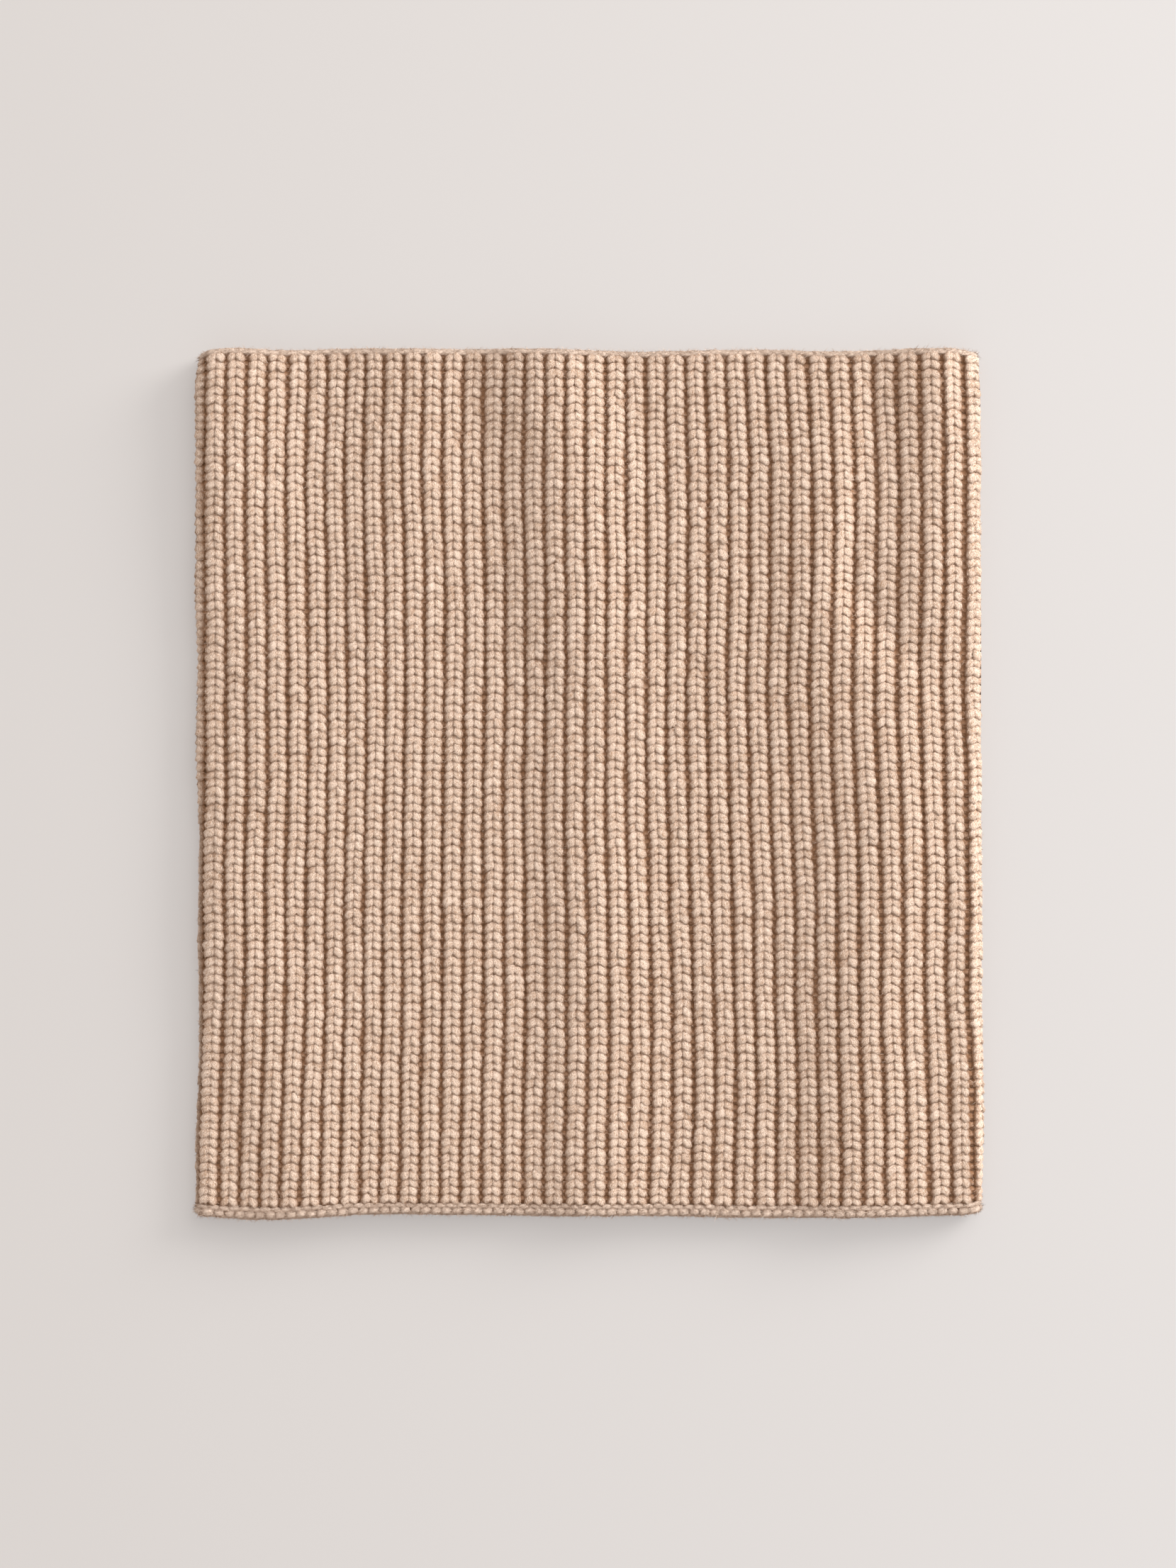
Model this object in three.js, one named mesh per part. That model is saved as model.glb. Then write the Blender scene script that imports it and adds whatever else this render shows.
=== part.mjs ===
import * as THREE from 'three';

// A short infinity scarf: one tube of chunky rib knit, lying flat with its front half on its back half.
// Millimetres. X runs across the ribs, Y runs along them to the cast-on edge, and Z is up.
// The origin is on the surface that the scarf lies on, under the middle of its outline.

// Overall sizes
const width = 290;
const length = 320;

// Each half is a plain wall with ribs raised on its outside. The two insides face each other.
const wallThickness = 2.9;
const ribHeight = 2.35;
const pieceGap = 0.3;
const middleLevel = wallThickness + ribHeight + pieceGap / 2;

// Ribs, counted by the grooves between them
const grooveCount = 38;
const ribPitch = 7.55;
const ribFullness = 2.6;
const ribRoundness = 0.6;
const ribStations = [0, 0.12, 0.3, 0.5, 0.7, 0.88];

// Sideways drift of the grooves from even spacing. A row is a section at y along the scarf, and the
// columns are the drift at the grooves that driftGrooves counts from the left fold.
const driftGrooves = [0, 5, 11, 18, 25, 31, 37];
const driftRows = [
  { y: 152, drift: [-0.5, -1, -4, -4.5, -6, -6, -1.5] },
  { y: 114, drift: [-1, -2, -4.5, -5, -5, -4.5, -1] },
  { y: 76, drift: [-1, -1.5, -3.5, -4.5, -5, -4.5, -1] },
  { y: 38, drift: [-1, -1, -3.5, -4.5, -5.5, -5.5, -1.5] },
  { y: 0, drift: [-1, -1, -4, -5, -5, -4.5, -0.5] },
  { y: -38, drift: [-1.5, -2, -4.5, -4.5, -4, -3, 0] },
  { y: -76, drift: [-1.5, -2, -4.5, -4, -3, -3, 0] },
  { y: -114, drift: [-3, -3, -5, -4.5, -2.5, -2, 1.5] },
  { y: -152, drift: [-3.5, -4, -5.5, -5, -3.5, -1.5, 2] },
];

// Side folds, where the tube turns from the front half into the back half. The wall goes round a
// quarter circle in each half, and one edge rib goes over the fold.
const foldRadius = wallThickness + pieceGap / 2;
const foldSteps = 5;
const edgeRibPitch = 8.2;
const grooveOnFold = 0.9;

// How far each side fold stands in from half the width, by section
const foldRows = [
  { y: 160, left: 1.4, right: 2.2 },
  { y: 148, left: 0.2, right: 0.7 },
  { y: 130, left: 0.2, right: 0.5 },
  { y: 90, left: 0.2, right: 0.3 },
  { y: 68, left: 0, right: 0.2 },
  { y: 48, left: 0.9, right: 0.1 },
  { y: 10, left: 0.4, right: 0.3 },
  { y: -14, left: 1.4, right: 0.2 },
  { y: -56, left: 1.1, right: 0.2 },
  { y: -98, left: 1.4, right: 0.3 },
  { y: -130, left: 0.2, right: 0 },
  { y: -160, left: 0.2, right: 0.8 },
];

// How far the cast-on edge and the bound-off edge stand in from half the length, by place across
const edgeRows = [
  { x: -145, castOn: 3, boundOff: 1.6 },
  { x: -138, castOn: 0.8, boundOff: 0.9 },
  { x: -130, castOn: 0, boundOff: 0.3 },
  { x: -115, castOn: 0.6, boundOff: 0 },
  { x: -90, castOn: 0, boundOff: 1.4 },
  { x: -75, castOn: 0, boundOff: 1.9 },
  { x: -20, castOn: 0.4, boundOff: 1.4 },
  { x: 15, castOn: 1, boundOff: 1.5 },
  { x: 60, castOn: 0.3, boundOff: 0.6 },
  { x: 90, castOn: 0.9, boundOff: 0.8 },
  { x: 130, castOn: 0, boundOff: 1.5 },
  { x: 138, castOn: 0.7, boundOff: 2.2 },
  { x: 145, castOn: 2.6, boundOff: 4.6 },
];
const edgeWaveReach = 40;

// Soft creases that lift the front half off the back half. Each runs the whole length. The columns are
// the x of its crest, its rise, and how far its left and right slopes run out, at each of creaseYs.
const creaseYs = [150, 110, 70, 30, -10, -50, -90, -150];
const creases = [
  {
    crest: [-137, -135, -134, -116, -126, -130, -120, -106],
    rise: [3.2, 3, 1.6, 1.8, 1.9, 1.7, 1.2, 1.6],
    left: [20, 20, 20, 40, 24, 20, 24, 26],
    right: [39, 38, 50, 52, 56, 30, 46, 34],
  },
  {
    crest: [-64, -66, -76, -76, -70, -60, -60, -60],
    rise: [1.3, 1.2, 1.2, 0.5, 0, 0, 0, 0],
    left: [30, 30, 30, 30, 30, 30, 30, 30],
    right: [22, 28, 34, 30, 30, 30, 30, 30],
  },
  {
    crest: [-16, -6, -5, -2, -2, -1, 0, 0],
    rise: [4, 3.5, 3, 1.8, 1.8, 1.9, 1.7, 2.4],
    left: [32, 34, 32, 28, 26, 24, 24, 24],
    right: [34, 34, 32, 36, 34, 32, 34, 34],
  },
  {
    crest: [92, 90, 87, 104, 112, 107, 102, 100],
    rise: [0.4, 1.9, 2.2, 2.5, 3, 3, 2.6, 2.6],
    left: [28, 32, 28, 48, 46, 46, 34, 32],
    right: [14, 14, 14, 34, 28, 32, 34, 34],
  },
  {
    crest: [129, 129, 126, 126, 126, 126, 126, 126],
    rise: [2.8, 1.7, 1.6, 0.4, 0, 0, 0, 0],
    left: [30, 22, 22, 20, 20, 20, 20, 20],
    right: [12, 12, 14, 14, 14, 14, 14, 14],
  },
];

// Rounded ends of the halves: the share that is left of the wall, and of the groove at each edge, at
// each distance in. The grooves run out below the cast-on edge, which is one even lip.
const endRows = [
  { inset: 0, wall: 0.5, castOnGroove: 0.15, boundOffGroove: 0.75 },
  { inset: 1, wall: 0.84, castOnGroove: 0.3, boundOffGroove: 0.9 },
  { inset: 2.6, wall: 1, castOnGroove: 0.9, boundOffGroove: 1 },
];
const sectionYs = [149, 114, 76, 38, 0, -38, -76, -114, -146];

// Bound-off chain edge: a row of links below the ribs, two to a rib
const linkCount = 76;
const chainDepth = 4.1;
const chainHeight = 3.6;
const chainSides = 6;
const linkWaist = 0.74;

// Step across of the plain surfaces, fine enough to follow the creases and the waves of the edges
const plainStep = 10;
const outermostPlain = 130;

const camelYarn = { color: 0xcbad97, roughness: 0.95, metalness: 0 };
const paleCamelYarn = { color: 0xd6ba9f, roughness: 0.95, metalness: 0 };

// Smooth curve through one column of a table, read at any place. The places rise or fall all the way.
function smoothColumn(places, values, at) {
  const direction = Math.sign(places[1] - places[0]);
  const last = places.length - 2;
  const passed = places.slice(1, -1).filter((place) => (at - place) * direction > 0).length;
  const i = Math.min(passed, last);
  const span = places[i + 1] - places[i];
  const t = THREE.MathUtils.clamp((at - places[i]) / span, 0, 1);
  const slopeAt = (k) => {
    const before = Math.max(k - 1, 0);
    const after = Math.min(k + 1, places.length - 1);
    return (values[after] - values[before]) / (places[after] - places[before]) * span;
  };
  const startShare = (1 + 2 * t) * (1 - t) ** 2;
  const slopes = slopeAt(i) * t * (1 - t) ** 2 - slopeAt(i + 1) * t ** 2 * (1 - t);
  return values[i] * startShare + values[i + 1] * (1 - startShare) + slopes;
}

function readTable(rows, key, column, at) {
  return smoothColumn(rows.map((row) => row[key]), rows.map((row) => row[column]), at);
}

function grooveX(groove, y) {
  const alongSections = driftRows.map((row) => smoothColumn(driftGrooves, row.drift, groove));
  const drift = smoothColumn(driftRows.map((row) => row.y), alongSections, y);
  return (groove - (grooveCount - 1) / 2) * ribPitch + drift;
}

// Height of the front half above where it would lie on the back half, from all the creases
function lift(x, y) {
  let height = 0;
  for (const crease of creases) {
    const read = (column) => smoothColumn(creaseYs, column, y);
    const fromCrest = x - read(crease.crest);
    const reach = read(fromCrest < 0 ? crease.left : crease.right);
    const away = Math.min(Math.abs(fromCrest) / reach, 1);
    height += read(crease.rise) * (0.5 + 0.5 * Math.cos(Math.PI * away));
  }
  return Math.max(height, 0);
}

// y moved so that the ends of the scarf follow the waves of its two edges
function wavedY(x, y) {
  const nearCastOn = Math.max(1 - (length / 2 - y) / edgeWaveReach, 0) ** 2;
  const nearBoundOff = Math.max(1 - (length / 2 + y) / edgeWaveReach, 0) ** 2;
  const castOn = readTable(edgeRows, 'x', 'castOn', x);
  const boundOff = readTable(edgeRows, 'x', 'boundOff', x);
  return y - castOn * nearCastOn + boundOff * nearBoundOff;
}

// Both folds of a section, as the x where the flat of the wall's outside ends on each side
function foldsAt(y, radius, standOut) {
  const left = standOut + readTable(foldRows, 'y', 'left', y) - width / 2;
  const right = width / 2 - standOut - readTable(foldRows, 'y', 'right', y);
  return { flatLeft: left + radius, flatRight: right - radius, radius };
}

// The outside of a half unrolls into one distance across: x on the flat, then arc length round a fold.
// This gives the point at that distance, raised along the wall's normal, as x and rise off the middle,
// and the share of the creases' lift that it takes, which runs out round the fold.
function roundFolds(across, raised, folds) {
  const flat = THREE.MathUtils.clamp(across, folds.flatLeft, folds.flatRight);
  const turned = (across - flat) / folds.radius;
  const reach = folds.radius + raised;
  const liftShare = Math.max(Math.cos(turned), 0);
  return {
    x: flat + reach * Math.sin(turned),
    rise: Math.max(reach * liftShare, pieceGap / 2),
    liftShare,
  };
}

function unrolled(x, folds) {
  const flat = THREE.MathUtils.clamp(x, folds.flatLeft, folds.flatRight);
  const sine = THREE.MathUtils.clamp((x - flat) / folds.radius, -grooveOnFold, grooveOnFold);
  return flat + folds.radius * Math.asin(sine);
}

function plainPlaces() {
  const places = [];
  for (let x = -outermostPlain; x <= outermostPlain; x += plainStep) places.push(x);
  return places;
}

// Share of the rib's height, with whole numbers of place at the grooves
function ribShape(place) {
  const fromCrown = Math.abs(2 * (place - Math.floor(place)) - 1);
  return (1 - fromCrown ** ribFullness) ** ribRoundness;
}

function raisedBy(place, section) {
  return ribHeight * section.wall * (1 - section.groove * (1 - ribShape(place)));
}

// Sections of a half, from the cast-on edge to its end above the bound-off chain
function halfSections() {
  const boundOffEnd = chainDepth + pieceGap - length / 2;
  return [
    ...endRows.map((row) => ({ y: length / 2 - row.inset, wall: row.wall, groove: row.castOnGroove })),
    ...sectionYs.map((y) => ({ y, wall: 1, groove: 1 })),
    ...endRows.toReversed().map((row) => (
      { y: boundOffEnd + row.inset, wall: row.wall, groove: row.boundOffGroove })),
  ];
}

// Distances across of the two fold lines and of the grooves, on the outside of the front half
function sectionLines(section) {
  const folds = foldsAt(section.y, foldRadius * section.wall, ribHeight);
  const quarter = folds.radius * Math.PI / 2;
  const grooves = [];
  for (let groove = 0; groove < grooveCount; groove += 1) {
    grooves.push(unrolled(grooveX(groove, section.y), folds));
  }
  return { folds, grooves, leftLine: folds.flatLeft - quarter, rightLine: folds.flatRight + quarter };
}

// The outside of the front half across one section: an edge rib, the whole ribs, and an edge rib
function frontOutside(section) {
  const { folds, grooves, leftLine, rightLine } = sectionLines(section);
  const points = [];
  const addPoint = (across, place) => {
    const { x, rise, liftShare } = roundFolds(across, raisedBy(place, section), folds);
    const height = middleLevel + rise + liftShare * lift(x, section.y);
    points.push(new THREE.Vector3(x, wavedY(x, section.y), height));
  };
  const firstGroove = grooves[0];
  const lastGroove = grooves[grooveCount - 1];
  for (let step = 0; step < foldSteps; step += 1) {
    const across = THREE.MathUtils.lerp(leftLine, firstGroove, step / foldSteps);
    addPoint(across, (across - firstGroove) / edgeRibPitch);
  }
  for (let groove = 0; groove < grooveCount - 1; groove += 1) {
    for (const place of ribStations) {
      addPoint(THREE.MathUtils.lerp(grooves[groove], grooves[groove + 1], place), place);
    }
  }
  for (let step = 0; step <= foldSteps; step += 1) {
    const across = THREE.MathUtils.lerp(lastGroove, rightLine, step / foldSteps);
    addPoint(across, (across - lastGroove) / edgeRibPitch);
  }
  return points;
}

// The outside of the back half: the rest of each edge rib, and a plain flat that lies on the surface
function backOutside(section) {
  const { folds, grooves, leftLine, rightLine } = sectionLines(section);
  const quarter = folds.radius * Math.PI / 2;
  const fromLeftGroove = grooves[0] - leftLine;
  const fromRightGroove = rightLine - grooves[grooveCount - 1];
  const ribCrown = 0.5;
  const points = [];
  const addPoint = (across, place) => {
    const { x, rise } = roundFolds(across, raisedBy(place, section), folds);
    points.push(new THREE.Vector3(x, wavedY(x, section.y), middleLevel - rise));
  };
  for (let step = 0; step <= foldSteps; step += 1) {
    const pastLine = quarter * step / foldSteps;
    addPoint(leftLine + pastLine, (fromLeftGroove + pastLine) / edgeRibPitch);
  }
  addPoint(folds.flatLeft + foldRadius / 2, ribCrown);
  for (const x of plainPlaces()) addPoint(x, ribCrown);
  addPoint(folds.flatRight - foldRadius / 2, ribCrown);
  for (let step = foldSteps; step >= 0; step -= 1) {
    const pastLine = quarter * step / foldSteps;
    addPoint(rightLine - pastLine, (fromRightGroove + pastLine) / edgeRibPitch);
  }
  return points;
}

// The plain inside across one section, between the two fold lines that it shares with the outside
function insideLine(outside, section, heightAt) {
  const inner = plainPlaces().map((x) => new THREE.Vector3(x, wavedY(x, section.y), heightAt(x, section.y)));
  return [outside[0], ...inner, outside[outside.length - 1]];
}

// Collects triangles on shared points into one closed body
class Body {
  constructor() {
    this.places = new Map();
    this.positions = [];
    this.triangles = [];
  }

  indexOf(point) {
    if (!this.places.has(point)) {
      this.places.set(point, this.places.size);
      this.positions.push(point.x, point.y, point.z);
    }
    return this.places.get(point);
  }

  addTriangle(a, b, c, flipped) {
    const corners = [a, b, c].map((point) => this.indexOf(point));
    if (flipped) corners.reverse();
    this.triangles.push(...corners);
  }

  // Skin over rows of points that run along +X, one row after the other towards -Y. It faces up, or
  // down when flipped.
  addSkin(rows, flipped) {
    for (let i = 0; i < rows.length - 1; i += 1) {
      for (let j = 0; j < rows[i].length - 1; j += 1) {
        this.addTriangle(rows[i][j], rows[i + 1][j], rows[i + 1][j + 1], flipped);
        this.addTriangle(rows[i][j], rows[i + 1][j + 1], rows[i][j + 1], flipped);
      }
    }
  }

  // End across Y between an outside row and the inside row below it, which share their two end
  // points. It faces +Y, or -Y when flipped.
  addEnd(outside, inside, flipped) {
    const lastOutside = outside.length - 2;
    const lastInside = inside.length - 1;
    let i = 1;
    let j = 0;
    while (i < lastOutside || j < lastInside) {
      const insideDone = j === lastInside;
      if (insideDone || (i < lastOutside && outside[i + 1].x < inside[j + 1].x)) {
        this.addTriangle(outside[i], outside[i + 1], inside[j], flipped);
        i += 1;
      } else {
        this.addTriangle(outside[i], inside[j + 1], inside[j], flipped);
        j += 1;
      }
    }
  }

  toMesh(name, yarn) {
    const geometry = new THREE.BufferGeometry();
    geometry.setAttribute('position', new THREE.Float32BufferAttribute(this.positions, 3));
    geometry.setIndex(this.triangles);
    geometry.computeVertexNormals();
    const mesh = new THREE.Mesh(geometry, new THREE.MeshStandardMaterial(yarn));
    mesh.name = name;
    return mesh;
  }
}

// Closes one half of the scarf from its outside rows and inside rows
function halfMesh(name, outsideRows, insideRows, facesDown) {
  const body = new Body();
  body.addSkin(outsideRows, facesDown);
  body.addSkin(insideRows, !facesDown);
  body.addEnd(outsideRows[0], insideRows[0], facesDown);
  body.addEnd(outsideRows.at(-1), insideRows.at(-1), !facesDown);
  return body.toMesh(name, camelYarn);
}

function frontPanel() {
  const sections = halfSections();
  const insideHeight = (x, y) => middleLevel + pieceGap / 2 + lift(x, y);
  const outside = sections.map(frontOutside);
  const inside = sections.map((section, i) => insideLine(outside[i], section, insideHeight));
  return halfMesh('front_panel', outside, inside, false);
}

function backPanel() {
  const sections = halfSections();
  const insideHeight = () => middleLevel - pieceGap / 2;
  const outside = sections.map(backOutside);
  const inside = sections.map((section, i) => insideLine(outside[i], section, insideHeight));
  return halfMesh('back_panel', outside, inside, true);
}

// One half of the chain edge, from fold line to fold line, with a ring at each link and each waist.
// Side 1 is the front half's, which goes up over the creases, and side -1 is the back half's.
function boundOffChain(name, side) {
  const halfHeight = chainHeight / 2;
  const centreY = (chainDepth - length) / 2;
  const folds = foldsAt(centreY, halfHeight + pieceGap / 2, halfHeight);
  const quarter = folds.radius * Math.PI / 2;
  const ringCount = 2 * linkCount;
  const rings = [];
  for (let i = 0; i <= ringCount; i += 1) {
    const across = THREE.MathUtils.lerp(folds.flatLeft - quarter, folds.flatRight + quarter, i / ringCount);
    const fullness = i % 2 === 0 ? linkWaist : 1;
    const ring = [];
    for (let corner = 0; corner < chainSides; corner += 1) {
      const angle = 2 * Math.PI * corner / chainSides;
      const { x, rise, liftShare } = roundFolds(across, halfHeight * fullness * Math.sin(angle), folds);
      const y = wavedY(x, centreY + chainDepth / 2 * fullness * Math.cos(angle));
      const liftHere = side > 0 ? liftShare * lift(x, y) : 0;
      ring.push(new THREE.Vector3(x, y, middleLevel + side * rise + liftHere));
    }
    rings.push([...ring, ring[0]]);
  }
  const body = new Body();
  const flipped = side > 0;
  body.addSkin(rings, flipped);
  const first = rings[0];
  const last = rings[ringCount];
  for (let corner = 1; corner < chainSides - 1; corner += 1) {
    body.addTriangle(first[0], first[corner], first[corner + 1], flipped);
    body.addTriangle(last[0], last[corner + 1], last[corner], flipped);
  }
  return body.toMesh(name, paleCamelYarn);
}

const scarf = new THREE.Group();
scarf.add(
  frontPanel(),
  backPanel(),
  boundOffChain('bound_off_front', 1),
  boundOffChain('bound_off_back', -1),
);

export default scarf;
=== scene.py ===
import bpy
import numpy as np
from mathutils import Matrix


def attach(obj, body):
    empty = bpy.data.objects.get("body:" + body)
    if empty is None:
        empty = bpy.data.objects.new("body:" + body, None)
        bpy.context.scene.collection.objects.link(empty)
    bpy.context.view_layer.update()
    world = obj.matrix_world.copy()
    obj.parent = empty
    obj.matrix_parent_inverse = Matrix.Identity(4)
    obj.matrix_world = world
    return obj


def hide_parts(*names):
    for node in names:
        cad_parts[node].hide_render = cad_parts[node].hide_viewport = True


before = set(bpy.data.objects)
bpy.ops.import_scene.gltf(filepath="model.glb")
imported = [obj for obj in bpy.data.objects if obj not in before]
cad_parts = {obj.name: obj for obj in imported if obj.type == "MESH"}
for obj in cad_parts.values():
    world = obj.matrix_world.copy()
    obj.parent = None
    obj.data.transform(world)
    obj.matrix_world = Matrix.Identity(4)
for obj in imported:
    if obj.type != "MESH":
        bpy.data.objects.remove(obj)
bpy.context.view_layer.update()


# The fabric of the loop
# One tube of chunky rib, knitted in the round from a soft camel yarn, with 76 ribs all round. It lies
# flat with its front half on its back half, so a section through it is a long ring with two folds.
mm = 0.001
width = 290
length = 320
wall_thickness = 2.9
rib_height = 2.35
piece_gap = 0.3
middle_level = wall_thickness + rib_height + piece_gap / 2

groove_count = 38
rib_pitch = 7.55
edge_rib_pitch = 6.0
drift_grooves = [0, 5, 11, 18, 25, 31, 37]
drift_ys = [152, 114, 76, 38, 0, -38, -76, -114, -152]
drifts = [
    [-0.5, -1, -4, -4.5, -6, -6, -1.5],
    [-1, -2, -4.5, -5, -5, -4.5, -1],
    [-1, -1.5, -3.5, -4.5, -5, -4.5, -1],
    [-1, -1, -3.5, -4.5, -5.5, -5.5, -1.5],
    [-1, -1, -4, -5, -5, -4.5, -0.5],
    [-1.5, -2, -4.5, -4.5, -4, -3, 0],
    [-1.5, -2, -4.5, -4, -3, -3, 0],
    [-3, -3, -5, -4.5, -2.5, -2, 1.5],
    [-3.5, -4, -5.5, -5, -3.5, -1.5, 2],
]

fold_radius = wall_thickness + piece_gap / 2
groove_on_fold = 0.9
fold_ease = 0.6
facing_step = 0.5
fold_ys = [160, 148, 130, 90, 68, 48, 10, -14, -56, -98, -130, -160]
left_fold_insets = [1.4, 0.2, 0.2, 0.2, 0, 0.9, 0.4, 1.4, 1.1, 1.4, 0.2, 0.2]
right_fold_insets = [0.9, -0.2, -0.4, -0.5, -0.6, -0.6, -0.5, -0.6, -0.7, -0.8, -1, 0]

edge_xs = [-145, -138, -130, -115, -90, -75, -20, 15, 60, 90, 130, 138, 145]
cast_on_insets = [3, 0.8, 0, 0.6, 0, 0, 0.4, 1, 0.3, 0.9, 0, 0.5, 1.6]
bound_off_insets = [1.6, 0.9, 0.3, 0, 1.4, 1.9, 1.4, 1.5, 0.6, 0.8, 1.4, 1.7, 2.6]
edge_wave_reach = 40

# Soft creases of the front half: x of the crest, its rise, and how far it reaches to the left and right
crease_ys = [150, 110, 70, 30, -10, -50, -90, -150]
creases = [
    {
        "crest": [-137, -135, -134, -116, -126, -130, -120, -106],
        "rise": [5.4, 5.0, 2.6, 3.0, 3.2, 2.8, 2.0, 2.6],
        "left": [20, 20, 20, 40, 24, 20, 24, 26],
        "right": [39, 38, 50, 52, 56, 30, 46, 34],
    },
    {
        "crest": [-64, -66, -76, -76, -70, -60, -60, -60],
        "rise": [2.2, 2.0, 2.0, 0.8, 0.0, 0.0, 0.0, 0.0],
        "left": [30, 30, 30, 30, 30, 30, 30, 30],
        "right": [22, 28, 34, 30, 30, 30, 30, 30],
    },
    {
        "crest": [-16, -6, -5, -2, -2, -1, 0, 0],
        "rise": [6.6, 5.9, 5.0, 3.0, 3.0, 3.2, 2.8, 4.0],
        "left": [32, 34, 32, 28, 26, 24, 24, 24],
        "right": [34, 34, 32, 36, 34, 32, 34, 34],
    },
    {
        "crest": [92, 90, 87, 104, 112, 107, 102, 100],
        "rise": [0.6, 3.2, 3.6, 4.2, 5.0, 5.0, 4.4, 4.4],
        "left": [28, 32, 28, 48, 46, 46, 34, 32],
        "right": [14, 14, 14, 34, 28, 32, 34, 34],
    },
    {
        "crest": [129, 129, 126, 126, 126, 126, 126, 126],
        "rise": [4.6, 2.8, 2.6, 0.6, 0.0, 0.0, 0.0, 0.0],
        "left": [30, 22, 22, 20, 20, 20, 20, 20],
        "right": [12, 12, 14, 14, 14, 14, 14, 14],
    },
]


def smooth(places, values, at):
    """Smooth curve through one column of a table, read at any places along it."""
    places = np.asarray(places, float)
    at = np.asarray(at, float)
    values = np.asarray(values, float)
    if values.ndim == 1:
        values = values.reshape((-1,) + (1,) * at.ndim)
    values = np.broadcast_to(values, (len(places),) + at.shape)
    if places[0] > places[-1]:
        places = places[::-1]
        values = values[::-1]
    rows = np.arange(len(places))
    before = np.maximum(rows - 1, 0)
    after = np.minimum(rows + 1, len(places) - 1)
    runs = (places[after] - places[before]).reshape((-1,) + (1,) * at.ndim)
    slopes = (values[after] - values[before]) / runs
    row = np.clip(np.searchsorted(places, at) - 1, 0, len(places) - 2)
    span = places[row + 1] - places[row]
    t = np.clip((at - places[row]) / span, 0, 1)

    def pick(table, index):
        return np.take_along_axis(table, index[None], axis=0)[0]

    start_share = (1 + 2 * t) * (1 - t) ** 2
    bend = pick(slopes, row) * t * (1 - t) ** 2 - pick(slopes, row + 1) * t**2 * (1 - t)
    return pick(values, row) * start_share + pick(values, row + 1) * (1 - start_share) + bend * span


def flats(y):
    """x of the two ends of the flat of the fabric, where it starts to turn round a fold."""
    stand_in = rib_height + fold_radius - width / 2
    left = stand_in + smooth(fold_ys, left_fold_insets, y)
    right = -stand_in - smooth(fold_ys, right_fold_insets, y)
    return left, right


def lift(x, y):
    """Height of the front half above where it would lie on the back half, from all the creases."""
    height = 0
    for crease in creases:
        crest, rise, left, right = [smooth(crease_ys, crease[key], y) for key in crease]
        away = np.minimum(np.abs(x - crest) / np.where(x < crest, left, right), 1)
        height = height + rise * (0.5 + 0.5 * np.cos(np.pi * away))
    return np.maximum(height, 0)


def on_tube(across, y, raised):
    """Points of the laid tube. across runs round the tube from x = 0 of its front half, raised is the
    height above the wall, and both ends follow the waves of the two edges."""
    left, right = flats(y)
    start = left - np.pi * fold_radius
    lap = 2 * (right - left + np.pi * fold_radius)
    across = start + np.mod(across - start, lap)
    flat = np.clip(across, left, right)
    turned = np.clip((across - flat) / fold_radius, -np.pi, np.pi)
    reach = fold_radius + raised
    x = flat + reach * np.sin(turned) - (across - flat - turned * fold_radius)
    rise = reach * np.cos(turned)
    z = middle_level + rise + lift(x, y) * np.maximum(np.cos(turned), 0)
    near_cast_on = np.clip(1 - (length / 2 - y) / edge_wave_reach, 0, 2) ** 2
    near_bound_off = np.clip(1 - (length / 2 + y) / edge_wave_reach, 0, 2) ** 2
    cast_on = smooth(edge_xs, cast_on_insets, x)
    bound_off = smooth(edge_xs, bound_off_insets, x)
    waved_y = y - cast_on * near_cast_on + bound_off * near_bound_off
    return np.stack([x, waved_y, np.maximum(z, 0)], axis=-1)


def facing(across, y):
    """The way that the tube's outside faces, as unit vectors, turning softly near the folds."""
    step = facing_step
    sideways = on_tube(across + step, y, rib_height) - on_tube(across - step, y, rib_height)
    lengthways = on_tube(across, y + step, rib_height) - on_tube(across, y - step, rib_height)
    away = np.cross(sideways, lengthways)
    away /= np.maximum(np.linalg.norm(away, axis=-1, keepdims=True), 1e-6)
    away[..., 0] *= 1 - fold_ease * away[..., 0] ** 2
    return away / np.linalg.norm(away, axis=-1, keepdims=True)


def groove_across(groove, y):
    """Distance across of a groove of the front half. Halves between them are the crowns of the ribs, and
    those past the first and the last lie over the folds."""
    whole = np.clip(groove, 0, groove_count - 1)
    along_rows = np.stack([smooth(drift_grooves, row, whole) for row in drifts])
    x = (whole - (groove_count - 1) / 2) * rib_pitch + smooth(drift_ys, along_rows, y)
    left, right = flats(y)
    flat = np.clip(x, left, right)
    sine = np.clip((x - flat) / fold_radius, -groove_on_fold, groove_on_fold)
    return flat + fold_radius * np.arcsin(sine) + edge_rib_pitch * (groove - whole)


def make_piece(name, points, faces, values, material):
    """A smooth mesh from points in millimetres, lists of faces, and named values at its points."""
    mesh = bpy.data.meshes.new(name)
    corners = np.concatenate([part.ravel() for part in faces])
    sizes = np.concatenate([np.full(len(part), part.shape[1]) for part in faces])
    mesh.vertices.add(len(points))
    mesh.vertices.foreach_set("co", (points * mm).astype(np.float32).ravel())
    mesh.loops.add(len(corners))
    mesh.loops.foreach_set("vertex_index", corners.astype(np.int32))
    mesh.polygons.add(len(sizes))
    mesh.polygons.foreach_set("loop_start", (np.cumsum(sizes) - sizes).astype(np.int32))
    mesh.update(calc_edges=True)
    mesh.shade_smooth()
    for key, value in values.items():
        is_vector = value.ndim == 2
        layer = mesh.attributes.new(key, "FLOAT_VECTOR" if is_vector else "FLOAT", "POINT")
        layer.data.foreach_set("vector" if is_vector else "value", value.astype(np.float32).ravel())
    mesh.materials.append(material)
    piece = bpy.data.objects.new(name, mesh)
    bpy.context.scene.collection.objects.link(piece)
    return piece


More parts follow.
